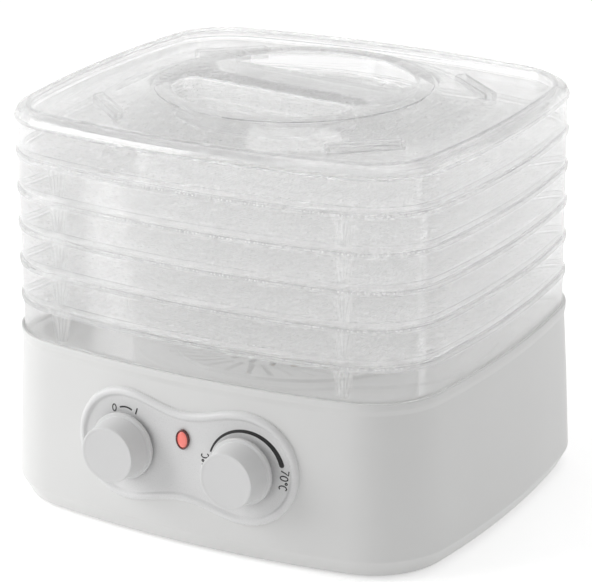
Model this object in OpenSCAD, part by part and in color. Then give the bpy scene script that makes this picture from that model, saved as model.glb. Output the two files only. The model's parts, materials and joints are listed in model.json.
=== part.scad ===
// Electric food dehydrator: a fan-heater base, five stacking trays and a lid.
// Millimetres, +Z up, -Y is the control side, origin under the middle of the feet.

/* [Plan outline] */
// Width of a tray over its flange
tray_w = 280; // [260:1:300]
// Depth of a tray over its flange
tray_d = 248; // [235:1:260]
// Radius of the four corners at the tray flange
corner_r = 46; // [38:1:52]
// Radius of the bulged sides
side_r = 590; // [500:10:800]

/* [Heights] */
// Top of the base lip
lip_z = 103.5; // [103:0.5:105]
// Edge above the bottom chamfer
crease_z = 12; // [9:0.5:14]
// Underside of the lowest tray flange
tray0_z = 121; // [120:0.5:123]
// Height from one tray flange to the next
tray_pitch = 21.5; // [21.5:0.5:24]
// Height of the lid shoulder
shoulder_h = 8; // [6:0.5:9]

/* [Trays] */
// Thickness of the outer flange band
flange_h = 3.3; // [3:0.1:3.8]
// Height of the low rim above the flange
rim_h = 3; // [2:0.5:4]
// Thickness of tray and lid walls
clear_t = 2; // [1.6:0.1:2.2]
// Thickness of the flange and the lattice floor
floor_t = 2.5; // [2:0.1:3]
// Distance between lattice openings
grid_pitch = 21.4; // [20:0.2:24]
// Side of one lattice opening
grid_hole = 17.4; // [12:0.2:17.6]

/* [Lid] */
// Radius of the raised centre disc
disc_r = 82; // [78:1:84]
// Top of the centre disc
disc_z = 241; // [239:0.5:242]
// Outer radius of the finger wells
well_r = 70; // [66:1:72]
// Half width of the grip bar between the wells
grip_half = 20; // [16:1:24]
// Floor of the finger wells
well_z = 228; // [227:0.5:232]
// Turn of the grip bar seen from above
grip_turn = -6; // [-10:1:0]

/* [Controls] */
// Distance of each knob from the middle
knob_x = 38.5; // [36:0.5:41]
// Height of the knob axes
knob_z = 56.5; // [54:0.5:58]
// Radius of the knob face
knob_face_r = 16; // [14:0.5:17]
// Radius of the knob skirt
knob_skirt_r = 19.5; // [18:0.5:20.5]
// Radius of both control shafts
shaft_r = 3; // [2.5:0.1:3.5]
// Height of the pilot lamp
lamp_z = 67; // [65:0.5:69]

/* [Fan and heater] */
// Radius of the fan duct bore
duct_r = 57; // [55:1:60]
// Number of fan blades
blades = 7; // [5:1:9]
// Radius of the motor shaft
motor_shaft_r = 2.5; // [2:0.1:3]
// Radius of the motor rotor
rotor_r = 11.6; // [11:0.1:11.8]

/* [Hidden] */
$fn = 48;
half_w = tray_w / 2;
half_d = tray_d / 2;
lid_z = tray0_z + 5 * tray_pitch;
lid_top = lid_z + shoulder_h;
hang_h = tray_pitch - flange_h;
ledge_z = tray0_z - hang_h;
base_z = 1.5;
wall_t = 3;
cover_top = 4;
deck_z = 91;
deck_t = 3;
// Insets from the tray flange outline; negative is outside it
lip_in = -0.8;
crease_in = -4.2;
foot_in = 1.5;
wall_in = 1.2;
rim_in = 3.5;
rim_t = 1.5;
floor_in = rim_in + rim_t;
leg_x = 91;
leg_y = 107.5;
panel_proud = 2.4;
knob_back = -128.6;
knob_front = -146;
e = 0.02;
boss_xy = [for (x = [-98, 98], y = [-78, 78]) [x, y]];
foot_xy = [for (x = [-88, 88], y = [-92, 92]) [x, y]];
deck_in = 22;
bush_z = [12, 38];

// Points of one quarter of the outline, from the +X side round to the +Y side.
// The sides are arcs of radius rs and the corner is an arc of radius rc tangent to both.
function quarter(a, b, rs, rc) =
  let (px = a - rs, qy = b - rs, rr = rs - rc,
       d = sqrt(px * px + qy * qy), h = sqrt(rr * rr - d * d / 4),
       cx = px / 2 - h * qy / d, cy = qy / 2 - h * px / d,
       t0 = atan2(cy, cx - px), t1 = atan2(cy - qy, cx))
  concat(
    [for (i = [0:3]) [px + rs * cos(t0 * i / 4), rs * sin(t0 * i / 4)]],
    [for (i = [0:8]) let (t = t0 + (t1 - t0) * i / 8) [cx + rc * cos(t), cy + rc * sin(t)]],
    [for (i = [1:4]) let (t = t1 + (90 - t1) * i / 4) [rs * cos(t), qy + rs * sin(t)]]
  );
function rev(v) = [for (i = [len(v) - 1:-1:0]) v[i]];
function skip_ends(v) = [for (i = [1:len(v) - 2]) v[i]];
// Whole outline, moved inwards by inset
function outline(inset) =
  let (q = quarter(half_w - inset, half_d - inset, side_r - inset, corner_r - inset))
  concat(
    q,
    rev([for (p = skip_ends(q)) [-p[0], p[1]]]),
    [for (p = q) [-p[0], -p[1]]],
    rev([for (p = skip_ends(q)) [p[0], -p[1]]])
  );
// Ellipse outline
function ellipse_pts(rx, rz, n = 32) = [for (i = [0:n - 1]) [rx * cos(360 * i / n), rz * sin(360 * i / n)]];
// Upper edge of the two-lobed panel: round lobes with a shallow waist between them
function lobe_pts(r, waist) = concat(
  [for (t = [0:10:80]) [knob_x + r * cos(t), r * sin(t)]],
  [for (i = [0:12]) let (x = knob_x * (1 - i / 6))
    [x, waist + (r - waist) * (1 - cos(180 * x / knob_x)) / 2]],
  [for (t = [100:10:180]) [-knob_x + r * cos(t), r * sin(t)]]
);
function panel_pts(r, waist) = let (up = lobe_pts(r, waist))
  concat(up, [for (p = rev(skip_ends(up))) [p[0], -p[1]]]);

// Straight slab of the plan outline
module slab(inset, z0, z1) {
  translate([0, 0, z0])
    linear_extrude(height = z1 - z0)
      polygon(outline(inset));
}

// Slab that tapers from one inset to another
module taper(in0, z0, in1, z1) {
  translate([0, 0, z0])
    linear_extrude(height = z1 - z0, slices = 1,
                   scale = [(half_w - in1) / (half_w - in0), (half_d - in1) / (half_d - in0)])
      polygon(outline(in0));
}

// Solid that follows the base wall, grown outwards by grow
module base_block(grow) {
  taper(crease_in - grow, crease_z, lip_in - grow, lip_z);
}

// Prism of a flat outline in X and Z, through the front wall
module front_prism(pts, y0, y1) {
  translate([0, y1, knob_z])
    rotate([90, 0, 0])
      linear_extrude(height = y1 - y0)
        polygon(pts);
}

// Cylinder along Y
module rod_y(r, x, z, y0, y1) {
  translate([x, y1, z])
    rotate([90, 0, 0])
      cylinder(r = r, h = y1 - y0);
}

// Tapered turned piece along -Y, from radius r0 at y0 out to r1 at y1
module cone_y(r0, r1, x, z, y0, y1) {
  translate([x, y0, z])
    rotate([90, 0, 0])
      cylinder(r1 = r0, r2 = r1, h = y0 - y1);
}

module base_housing() {
  color("whitesmoke")
  difference() {
    union() {
      // Outer wall with the chamfer under its crease
      difference() {
        union() {
          taper(foot_in, base_z, crease_in, crease_z);
          taper(crease_in, crease_z, lip_in, lip_z);
        }
        taper(foot_in + wall_t, base_z - e, crease_in + wall_t, crease_z + e);
        taper(crease_in + wall_t, crease_z, lip_in + wall_t, lip_z - 5);
        slab(12, lip_z - 6, lip_z + 1);
        // Ledge that the lowest tray stands on, just inside the lip
        slab(0.8, ledge_z, lip_z + 1);
      }
      // Slope from the ledge down to the sunken deck
      difference() {
        taper(19, deck_z - deck_t, 10, ledge_z);
        taper(deck_in, deck_z, 13, ledge_z + e);
        slab(deck_in, deck_z - deck_t - 1, deck_z + 1);
      }
    }
    // Window for the control panel
    front_prism(panel_pts(33.2, 26.7), -half_d - 20, -half_d + 14);
    // Cord inlet in the rear wall
    rod_y(6.05, 70, 28, half_d - 10, half_d + 12);
  }
}

// Level floor of the bowl under the trays, moulded in one with the housing
module base_deck() {
  color("whitesmoke")
  difference() {
    union() {
      slab(deck_in, deck_z - deck_t, deck_z);
      // Screw bosses that hang from the deck
      for (p = boss_xy)
        translate([p[0], p[1], cover_top])
          cylinder(r = 4.5, h = deck_z - cover_top - 1);
    }
    // Air outlet
    translate([0, 0, deck_z - deck_t - 1])
      cylinder(r = duct_r + 2.3, h = deck_t + 2);
    for (p = boss_xy)
      translate([p[0], p[1], cover_top - 1])
        cylinder(r = 1.8, h = 16);
  }
}

module bottom_cover() {
  color("gainsboro")
  difference() {
    slab(foot_in + wall_t + 1, base_z, cover_top);
    // Air intake slots under the fan
    for (row = [-2:2])
      for (side = [-1, 1])
        translate([side * 32 - 24, row * 12 - 3, base_z - 1])
          cube([48, 6, 5]);
    for (p = boss_xy)
      translate([p[0], p[1], base_z - 1]) {
        cylinder(r = 2.1, h = 5);
        cylinder(r = 3.9, h = 2.6);
      }
    for (p = foot_xy)
      translate([p[0], p[1], base_z - 1])
        cylinder(r = 9.1, h = 2.5);
    translate([0, 0, base_z - 1])
      cylinder(r = 6.1, h = 2.5);
  }
}

// Four corner feet and a small one under the motor
module rubber_feet() {
  color("dimgray")
  union() {
    for (p = foot_xy)
      translate([p[0], p[1], 0])
        cylinder(r = 9, h = 3);
    cylinder(r = 6, h = 3);
  }
}

module case_screws() {
  color("silver")
  for (p = boss_xy)
    translate([p[0], p[1], 0])
      difference() {
        union() {
          translate([0, 0, 1.6])
            cylinder(r = 3.6, h = 1.5);
          translate([0, 0, 3.1])
            cylinder(r = 1.75, h = 14);
        }
        // Cross recess
        for (t = [0, 90])
          rotate([0, 0, t])
            translate([-2, -0.4, 1])
              cube([4, 0.8, 1.4]);
      }
}

module control_panel() {
  color("white")
  difference() {
    intersection() {
      front_prism(panel_pts(33, 26.5), -half_d - 20, -half_d + 14);
      difference() {
        base_block(panel_proud);
        taper(crease_in + wall_t, crease_z - 1, lip_in + wall_t, lip_z + 1);
      }
    }
    // Sunken face inside the raised bead
    difference() {
      front_prism(panel_pts(29.5, 23.5), -half_d - 20, -half_d + 14);
      base_block(0.6);
    }
    for (x = [-knob_x, knob_x])
      rod_y(4.2, x, knob_z, -half_d - 20, -half_d + 20);
    front_prism([for (p = ellipse_pts(4.3, 5.9)) [p[0], p[1] + lamp_z - knob_z]], -half_d - 20, -half_d + 14);
  }
}

// Turned knob: a thin skirt, a slightly tapered grip and a rounded face edge
module knob(x) {
  difference() {
    union() {
      cone_y(knob_skirt_r, knob_skirt_r - 0.4, x, knob_z, knob_back, knob_back - 2.4);
      cone_y(knob_face_r + 1.6, knob_face_r + 0.4, x, knob_z, knob_back - 2.4 + e, knob_front + 1);
      cone_y(knob_face_r + 0.4, knob_face_r - 0.6, x, knob_z, knob_front + 1 + e, knob_front);
    }
    rod_y(shaft_r, x, knob_z, knob_back - 10, knob_back + 1);
    // Hollow back
    difference() {
      rod_y(knob_face_r - 1.5, x, knob_z, knob_back - 12, knob_back + 1);
      rod_y(6, x, knob_z, knob_back - 12.5, knob_back + 2);
    }
  }
}

module switch_knob() {
  color("white") knob(-knob_x);
}

module thermostat_knob() {
  color("white") knob(knob_x);
}

// Shaft with a collar inside its switch
module control_shaft(x) {
  rod_y(shaft_r, x, knob_z, knob_back - 10, -104);
  rod_y(5, x, knob_z, -106, -104);
}

module switch_shaft() {
  color("silver") control_shaft(-knob_x);
}

module thermostat_shaft() {
  color("silver") control_shaft(knob_x);
}

// Body behind the panel with a bushing and a room for the shaft collar
module control_body(x, w, h, y1) {
  difference() {
    union() {
      translate([x - w / 2, -119, knob_z - h / 2])
        cube([w, y1 + 119, h]);
      rod_y(4, x, knob_z, -124, -118);
    }
    rod_y(shaft_r + 0.05, x, knob_z, -130, -107);
    rod_y(5.4, x, knob_z, -107, -103);
  }
}

module rotary_switch() {
  color("ivory")
  union() {
    control_body(-knob_x, 28, 24, -98);
    for (dz = [-7, 7])
      translate([-knob_x - 0.4, -98 - e, knob_z + dz - 3])
        cube([0.8, 9, 6]);
  }
}

module thermostat_body() {
  color("tan")
  union() {
    control_body(knob_x, 32, 26, -96);
    for (dx = [-9, 9])
      translate([knob_x + dx - 3, -96 - e, knob_z - 0.4])
        cube([6, 9, 0.8]);
  }
}

module indicator_bezel() {
  color("firebrick")
  difference() {
    front_prism([for (p = ellipse_pts(4.2, 5.8)) [p[0], p[1] + lamp_z - knob_z]], -128.3, -119.5);
    front_prism([for (p = ellipse_pts(3.3, 4.8)) [p[0], p[1] + lamp_z - knob_z]], -130, -119);
  }
}

module indicator_lens() {
  color("red")
  front_prism([for (p = ellipse_pts(3.2, 4.7)) [p[0], p[1] + lamp_z - knob_z]], -128.7, -120.5);
}

module indicator_lamp() {
  color("orange")
  union() {
    rod_y(2.4, 0, lamp_z, -120, -110);
    rod_y(3.2, 0, lamp_z, -110 - e, -104);
  }
}

module air_grille() {
  color("white")
  difference() {
    union() {
      translate([0, 0, deck_z])
        cylinder(r = duct_r + 10, h = 2);
      translate([0, 0, deck_z + 2 - e])
        cylinder(r1 = duct_r + 6, r2 = duct_r - 8, h = 3);
    }
    // Hollow under the raised middle
    translate([0, 0, deck_z - 1])
      cylinder(r1 = duct_r + 3, r2 = duct_r - 10, h = 4);
    for (i = [0:23])
      rotate([0, 0, i * 15])
        translate([20, -1.8, deck_z - 1])
          cube([30, 3.6, 8]);
  }
}

module air_duct() {
  color("lightgray")
  difference() {
    union() {
      translate([0, 0, 44])
        cylinder(r = duct_r + 2, h = deck_z - 44, $fn = 72);
      // Mouth flange
      translate([0, 0, 44])
        cylinder(r = duct_r + 6, h = 2, $fn = 72);
      for (t = [45:90:315])
        rotate([0, 0, t])
          translate([duct_r, -5, 82])
            cube([12, 10, deck_z - deck_t - 82]);
    }
    translate([0, 0, 40])
      cylinder(r = duct_r, h = 60, $fn = 72);
  }
}

heater_z = 74;
coil_rs = [46, 38, 30];
module heater_ring(r, w) {
  translate([0, 0, heater_z])
    rotate_extrude($fn = 64)
      translate([r, 0])
        circle(r = w, $fn = 20);
}

module heater_frame() {
  color("tan")
  difference() {
    union() {
      for (t = [0, 60, 120])
        rotate([0, 0, t])
          translate([-duct_r + 0.5, -0.6, heater_z - 7])
            cube([2 * duct_r - 1, 1.2, 14]);
      translate([0, 0, heater_z - 7])
        cylinder(r = 8, h = 14);
    }
    for (r = coil_rs)
      heater_ring(r, 2.3);
  }
}

module heater_coil() {
  color("gray")
  for (r = coil_rs)
    heater_ring(r, 2);
}

module thermal_cutout() {
  color("silver")
  union() {
    translate([-20, 7, heater_z])
      rotate([0, 90, 30])
        cylinder(r = 3, h = 10);
    translate([-20, 7, heater_z])
      rotate([0, 90, 30])
        translate([0, 0, -5])
          cylinder(r = 0.8, h = 17);
  }
}

module motor_stator() {
  color("slategray")
  difference() {
    translate([-28, -24, 17])
      cube([68, 48, 16]);
    translate([0, 0, 10])
      cylinder(r = rotor_r + 0.4, h = 30);
    // Windows either side of the wound leg
    for (s = [-1, 1])
      translate([20, s * 12 - 5, 10])
        cube([12, 10, 30]);
    for (x = [-22, 14], y = [-18, 18])
      translate([x, y, 10])
        cylinder(r = 1.6, h = 30);
  }
}

module motor_coil() {
  color("peru")
  difference() {
    translate([20.5, -16.5, 14])
      cube([11, 33, 22]);
    translate([19, -7.2, 16.8])
      cube([14, 14.4, 16.4]);
    for (s = [-1, 1])
      translate([19, s * 18.5 - 1.4, 13])
        cube([14, 2.8, 24]);
  }
}

// Two bearing straps on screws through the stator, and the legs that stand on the cover
module motor_brackets() {
  color("silver")
  difference() {
    union() {
      for (z = bush_z)
        translate([-26, -22, z])
          cube([44, 44, 1.5]);
      for (x = [-22, 14], y = [-18, 18])
        translate([x, y, cover_top])
          cylinder(r = 1.5, h = 38);
    }
    translate([0, 0, 5])
      cylinder(r = 6, h = 40);
  }
}

module motor_bearings() {
  color("goldenrod")
  for (z = bush_z)
    difference() {
      translate([0, 0, z - 1.5])
        cylinder(r = 5.95, h = 4.5);
      translate([0, 0, z - 2])
        cylinder(r = motor_shaft_r + 0.05, h = 6);
    }
}

module motor_rotor() {
  color("silver")
  union() {
    translate([0, 0, 17])
      cylinder(r = rotor_r, h = 16);
    translate([0, 0, 9])
      cylinder(r = motor_shaft_r, h = 54);
  }
}

module fan_impeller() {
  color("dimgray")
  difference() {
    union() {
      translate([0, 0, 47])
        cylinder(r = 14, h = 11);
      for (i = [0:blades - 1])
        rotate([0, 0, i * 360 / blades])
          translate([12, 0, 52.5])
            rotate([32, 0, 0])
              translate([0, -9, -0.9])
                cube([39, 18, 1.8]);
    }
    translate([0, 0, 40])
      cylinder(r = motor_shaft_r, h = 30);
  }
}

module fan_nut() {
  color("silver")
  difference() {
    translate([0, 0, 58])
      cylinder(r = 4.6, h = 4, $fn = 6);
    translate([0, 0, 57])
      cylinder(r = motor_shaft_r, h = 8);
  }
}

module cord_gland() {
  color("dimgray")
  difference() {
    union() {
      rod_y(6, 70, 28, half_d - 8, half_d + 3.6);
      rod_y(8.5, 70, 28, half_d + 0.9, half_d + 3.6);
      rod_y(8.5, 70, 28, half_d - 8, half_d - 5);
    }
    rod_y(3.2, 70, 28, half_d - 12, half_d + 12);
  }
}

module terminal_block() {
  color("ivory")
  difference() {
    union() {
      for (i = [0:2])
        translate([32 + i * 12 - e, 84, cover_top])
          cube([12 + 2 * e, 16, 14]);
      translate([28, 88, cover_top])
        cube([44, 8, 5]);
    }
    for (i = [0:2])
      translate([38 + i * 12, 92, 12])
        cylinder(r = 2.4, h = 12);
  }
}

// Straight run of a wire along one axis, with a square end so that runs join
module wire(p, along, l) {
  translate(p)
    rotate(along)
      cylinder(r = 1.1, h = l, $fn = 16);
  translate([p[0] - 1.15, p[1] - 1.15, p[2] - 1.15])
    cube(2.3);
}

// A lead from the terminal block forward, across and up to one control
module lead(x0, x1, y_front, z_low, z_high) {
  wire([x0, 82.5, z_low], [90, 0, 0], 82.5 - y_front);
  wire([x0, y_front, z_low], [0, x1 > x0 ? 90 : -90, 0], abs(x1 - x0));
  wire([x1, y_front, z_low], [0, 0, 0], z_high - z_low);
}

module wiring_loom() {
  color("steelblue")
  union() {
    lead(66, knob_x + 9, -85, 9, 55);
    lead(62, -knob_x, -87, 13, 48);
  }
}

// Four lugs that carry the tray's legs
module lugs(z, h) {
  for (sx = [-1, 1], sy = [-1, 1])
    translate([sx * leg_x - 6, sy * (leg_y + 2) - 4, z])
      cube([12, 8, h]);
}

// One tray without its lattice: a flange, a low rim above it, and a wall and four
// tapered legs that hang below to the next flange
module tray(z) {
  lugs(z, floor_t);
  difference() {
    union() {
      slab(0, z, z + flange_h);
      // Low rim that the wall above fits over
      slab(rim_in, z, z + flange_h + rim_h);
      // Hanging wall
      slab(wall_in, z - hang_h, z + e);
    }
    slab(floor_in, z - 1, z + flange_h + rim_h + 1);
    slab(wall_in + clear_t, z - hang_h - 1, z);
  }
  // Tapered legs inside the wall, one near each corner
  for (sx = [-1, 1], sy = [-1, 1])
    translate([sx * leg_x, sy * leg_y, z + e])
      rotate([90, 0, 0])
        translate([0, 0, -1.5])
          linear_extrude(height = 3)
            polygon([[-5, 0], [-1.6, -hang_h - e], [1.6, -hang_h - e], [5, 0]]);
}

// Lattice floor of one tray, moulded in one with its flange
module tray_floor(z) {
  difference() {
    slab(floor_in, z, z + floor_t);
    lugs(z - 1, floor_t + 2);
    for (i = [-7:7], j = [-6:6])
      if (pow((abs(i) * grid_pitch + grid_hole / 2) / (half_w - 8), 5)
          + pow((abs(j) * grid_pitch + grid_hole / 2) / (half_d - 8), 5) < 1)
        translate([i * grid_pitch - grid_hole / 2, j * grid_pitch - grid_hole / 2, z - 1])
          cube([grid_hole, grid_hole, floor_t + 2]);
  }
}

module tray_5() {
  color("azure") tray(tray0_z);
}

module tray_5_floor() {
  color("azure") tray_floor(tray0_z);
}

module tray_4() {
  color("azure") tray(tray0_z + tray_pitch);
}

module tray_4_floor() {
  color("azure") tray_floor(tray0_z + tray_pitch);
}

module tray_3() {
  color("azure") tray(tray0_z + 2 * tray_pitch);
}

module tray_3_floor() {
  color("azure") tray_floor(tray0_z + 2 * tray_pitch);
}

module tray_2() {
  color("azure") tray(tray0_z + 3 * tray_pitch);
}

module tray_2_floor() {
  color("azure") tray_floor(tray0_z + 3 * tray_pitch);
}

module tray_1() {
  color("azure") tray(tray0_z + 4 * tray_pitch);
}

module tray_1_floor() {
  color("azure") tray_floor(tray0_z + 4 * tray_pitch);
}

// Plan of both finger wells, grown by grow
module wells_2d(grow) {
  rotate(grip_turn)
    for (s = [0, 180])
      rotate(s)
        intersection() {
          circle(r = well_r + grow, $fn = 72);
          translate([-58 - grow, -100])
            square([116 + 2 * grow, 100 - grip_half + grow]);
        }
}

module lid() {
  t = clear_t;
  color("azure")
  difference() {
    union() {
      // Side wall that stands on the top tray
      difference() {
        slab(wall_in, lid_z - hang_h, lid_z + e);
        slab(wall_in + t, lid_z - hang_h - 1, lid_z + 1);
      }
      // Rolled shoulder up to the crest
      difference() {
        union() {
          taper(0, lid_z, 1.6, lid_z + shoulder_h / 2);
          taper(1.6, lid_z + shoulder_h / 2, 7.5, lid_top);
        }
        taper(wall_in + t, lid_z - e, 4.5, lid_z + shoulder_h / 2 + e);
        taper(4.5, lid_z + shoulder_h / 2, 8.4, lid_top - t);
        slab(10.5, lid_z - 1, lid_top + 1);
      }
      // Inner rim wall from the crest down to the sunken border
      difference() {
        slab(8.2, lid_z, lid_top - e);
        slab(10.5, lid_z - 1, lid_top + 1);
      }
      // Sunken border
      difference() {
        slab(9, lid_z, lid_z + t);
        translate([0, 0, lid_z - 1])
          cylinder(r = 108, h = 9, $fn = 96);
      }
      // Conical rise and raised centre disc
      rotate_extrude($fn = 96)
        polygon([
          [0, disc_z - t], [disc_r - 5, disc_z - t], [disc_r - 2, disc_z - t - 2],
          [107, lid_z], [111, lid_z], [111, lid_z + t],
          [disc_r, disc_z - t + 1], [disc_r - 2, disc_z], [0, disc_z]
        ]);
      // Finger well walls
      translate([0, 0, well_z - t])
        linear_extrude(height = disc_z - well_z + t - 0.5)
          wells_2d(t);
      // Ribs across the corners
      for (sx = [-1, 1], sy = [-1, 1])
        translate([sx * 82, sy * 67, lid_z + e])
          rotate([0, 0, sx * sy * -40])
            translate([-22, -4, 0])
              cube([44, 8, shoulder_h - 2]);
    }
    // Finger wells
    translate([0, 0, well_z])
      linear_extrude(height = 20)
        wells_2d(0);
    // Hollow of the corner ribs
    for (sx = [-1, 1], sy = [-1, 1])
      translate([sx * 82, sy * 67, lid_z - 1])
        rotate([0, 0, sx * sy * -40])
          translate([-20, -2, 0])
            cube([40, 4, shoulder_h - 3]);
  }
}

base_housing();
base_deck();
bottom_cover();
rubber_feet();
case_screws();
control_panel();
switch_knob();
switch_shaft();
rotary_switch();
thermostat_knob();
thermostat_shaft();
thermostat_body();
indicator_bezel();
indicator_lens();
indicator_lamp();
air_grille();
air_duct();
heater_frame();
heater_coil();
thermal_cutout();
motor_stator();
motor_coil();
motor_brackets();
motor_bearings();
motor_rotor();
fan_impeller();
fan_nut();
cord_gland();
terminal_block();
wiring_loom();
tray_5();
tray_5_floor();
tray_4();
tray_4_floor();
tray_3();
tray_3_floor();
tray_2();
tray_2_floor();
tray_1();
tray_1_floor();
lid();
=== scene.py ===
"""Food dehydrator with a white fan-heater base, five clear trays and a clear lid.

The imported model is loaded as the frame. Each visible sub-assembly is built again as a finer
mesh in the same place, and every other piece of the frame is given its finish.
"""

from __future__ import annotations

import json
import logging
import math
from dataclasses import dataclass
from enum import Enum
from typing import Any, Callable, Iterable, Sequence

import bmesh
import bpy
from mathutils import Matrix, Vector
from mathutils.geometry import delaunay_2d_cdt


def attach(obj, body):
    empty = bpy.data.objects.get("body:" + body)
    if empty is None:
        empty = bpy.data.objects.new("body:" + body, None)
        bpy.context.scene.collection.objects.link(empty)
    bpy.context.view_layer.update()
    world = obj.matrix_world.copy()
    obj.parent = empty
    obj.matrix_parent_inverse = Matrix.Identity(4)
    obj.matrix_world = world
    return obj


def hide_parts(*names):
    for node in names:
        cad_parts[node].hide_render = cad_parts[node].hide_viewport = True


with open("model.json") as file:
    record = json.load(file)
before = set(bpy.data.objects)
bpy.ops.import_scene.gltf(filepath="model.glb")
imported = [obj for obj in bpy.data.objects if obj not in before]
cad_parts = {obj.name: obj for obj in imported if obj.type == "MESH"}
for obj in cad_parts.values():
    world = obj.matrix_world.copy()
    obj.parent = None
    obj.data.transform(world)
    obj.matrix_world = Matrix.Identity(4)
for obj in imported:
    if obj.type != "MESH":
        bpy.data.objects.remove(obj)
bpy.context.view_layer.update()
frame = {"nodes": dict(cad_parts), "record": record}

LOG = logging.getLogger("dehydrator")
MM = 0.001
# Most of a noise texture's values lie between these two
NOISE_LOW, NOISE_HIGH = 0.3, 0.7
# Corners flatter than this, in radians short of straight, aren't worth a rounding
NEARLY_STRAIGHT = 0.01
# A rounding takes at most this share of either side of its corner
ROUNDING_SHARE = 0.49
# Points of a flat sheet closer than this are one point to the triangulation
SHEET_EPSILON = 1e-5
QUARTERS = ((-1, -1), (-1, 1), (1, -1), (1, 1))

Point2 = tuple[float, float]
Point3 = tuple[float, float, float]
Loop = list[Point2]
Ring = list[Point3]
Link = tuple[bpy.types.Node, int]


# ---------------------------------------------------------------- colours and shader nodes


def linear(hex_colour: str) -> tuple[float, float, float, float]:
    """Turns an sRGB hex colour into the linear colour that the shader takes.

    Args:
        hex_colour: Six hex digits, with or without a leading hash.

    Returns:
        Linear red, green, blue and an alpha of 1.
    """
    digits = hex_colour.lstrip("#")
    parts = []
    for start in (0, 2, 4):
        value = int(digits[start:start + 2], 16) / 255
        parts.append(value / 12.92 if value <= 0.04045 else ((value + 0.055) / 1.055) ** 2.4)
    return (parts[0], parts[1], parts[2], 1.0)


def add_node(tree: bpy.types.NodeTree, kind: str, settings: dict[str, Any] | None = None,
             **sockets: Any) -> bpy.types.Node:
    """Adds one shader node with its settings and its inputs.

    Args:
        tree: Node tree that takes the node.
        kind: Blender's name of the node type, without "ShaderNode".
        settings: Attributes of the node itself.
        **sockets: Input socket names with blanks as underscores, or in0, in1 for a place in the
            list. A value is a constant, or a (node, output name or place) pair to link.

    Returns:
        The new node.
    """
    node = tree.nodes.new("ShaderNode" + kind)
    for name, value in (settings or {}).items():
        setattr(node, name, value)
    for name, value in sockets.items():
        is_place = name.startswith("in") and name[2:].isdigit()
        socket = node.inputs[int(name[2:]) if is_place else name.replace("_", " ")]
        if isinstance(value, tuple) and len(value) == 2 and isinstance(value[0], bpy.types.Node):
            tree.links.new(value[0].outputs[value[1]], socket)
        else:
            socket.default_value = value
    return node


def new_tree(name: str) -> tuple[bpy.types.Material, bpy.types.NodeTree]:
    """Makes an empty node material.

    Args:
        name: Name of the material.

    Returns:
        The material and its empty node tree.
    """
    material = bpy.data.materials.new(name)
    material.use_nodes = True
    material.node_tree.nodes.clear()
    return material, material.node_tree


def math_node(tree: bpy.types.NodeTree, operation: str, a: Any, b: Any = 0.0) -> Link:
    """Adds one math node and returns its output, ready to link."""
    return add_node(tree, "Math", {"operation": operation}, in0=a, in1=b), 0


def two_tone(tree: bpy.types.NodeTree, share: Any, first: str, second: str) -> Link:
    """Mixes two hex colours by a share and returns the output, ready to link."""
    mix = add_node(tree, "Mix", {"data_type": "RGBA"}, in0=share, in6=linear(first), in7=linear(second))
    return mix, 2


def spread(tree: bpy.types.NodeTree, noise: Any, low: float, high: float) -> Link:
    """Stretches the middle of a noise over a range and returns the output, ready to link."""
    stretched = add_node(tree, "MapRange", Value=noise, From_Min=NOISE_LOW, From_Max=NOISE_HIGH,
                         To_Min=low, To_Max=high)
    return stretched, 0


# ---------------------------------------------------------------- finishes


@dataclass(frozen=True)
class SlotPattern:
    """Woven look of the tray floors: square cells, each with two slots one way or the other."""

    cell: float = 10.65
    slot_long: float = 8.2
    slot_wide: float = 2.5
    slot_gap: float = 5.0


WEAVE = SlotPattern()


@dataclass(frozen=True)
class MouldedPlastic:
    """Injection-moulded plastic: an even colour that clouds a little, and a fine mould grain."""

    name: str
    colour: str
    cloud: str
    roughness: float
    roughness_spread: float = 0.06
    grain_mm: float = 0.5
    grain_depth_mm: float = 0.01
    ripple_mm: float = 40.0
    ior: float = 1.53
    coat: float = 0.0
    sheen: float = 0.0
    glow: float = 0.0

    def material(self) -> bpy.types.Material:
        """Builds the node material: clouded colour, uneven gloss and grain in the surface."""
        material, tree = new_tree(self.name)
        place = add_node(tree, "TexCoord")
        cloud = add_node(tree, "TexNoise", Vector=(place, "Object"), Scale=1000 / self.ripple_mm,
                         Detail=3.0, Roughness=0.55)
        colour = two_tone(tree, (cloud, "Fac"), self.colour, self.cloud)
        grain = add_node(tree, "TexNoise", Vector=(place, "Object"), Scale=1000 / self.grain_mm,
                         Detail=2.0, Roughness=0.6)
        gloss = spread(tree, (grain, "Fac"), self.roughness - self.roughness_spread,
                       self.roughness + self.roughness_spread)
        bump = add_node(tree, "Bump", Height=(grain, "Fac"), Distance=self.grain_depth_mm * MM,
                        Strength=0.6)
        shader = add_node(tree, "BsdfPrincipled", Base_Color=colour, Roughness=gloss,
                          Normal=(bump, 0), IOR=self.ior)
        shader.inputs["Coat Weight"].default_value = self.coat
        shader.inputs["Sheen Weight"].default_value = self.sheen
        if self.glow:
            shader.inputs["Emission Color"].default_value = linear(self.colour)
            shader.inputs["Emission Strength"].default_value = self.glow
        add_node(tree, "OutputMaterial", Surface=(shader, 0))
        return material


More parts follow.
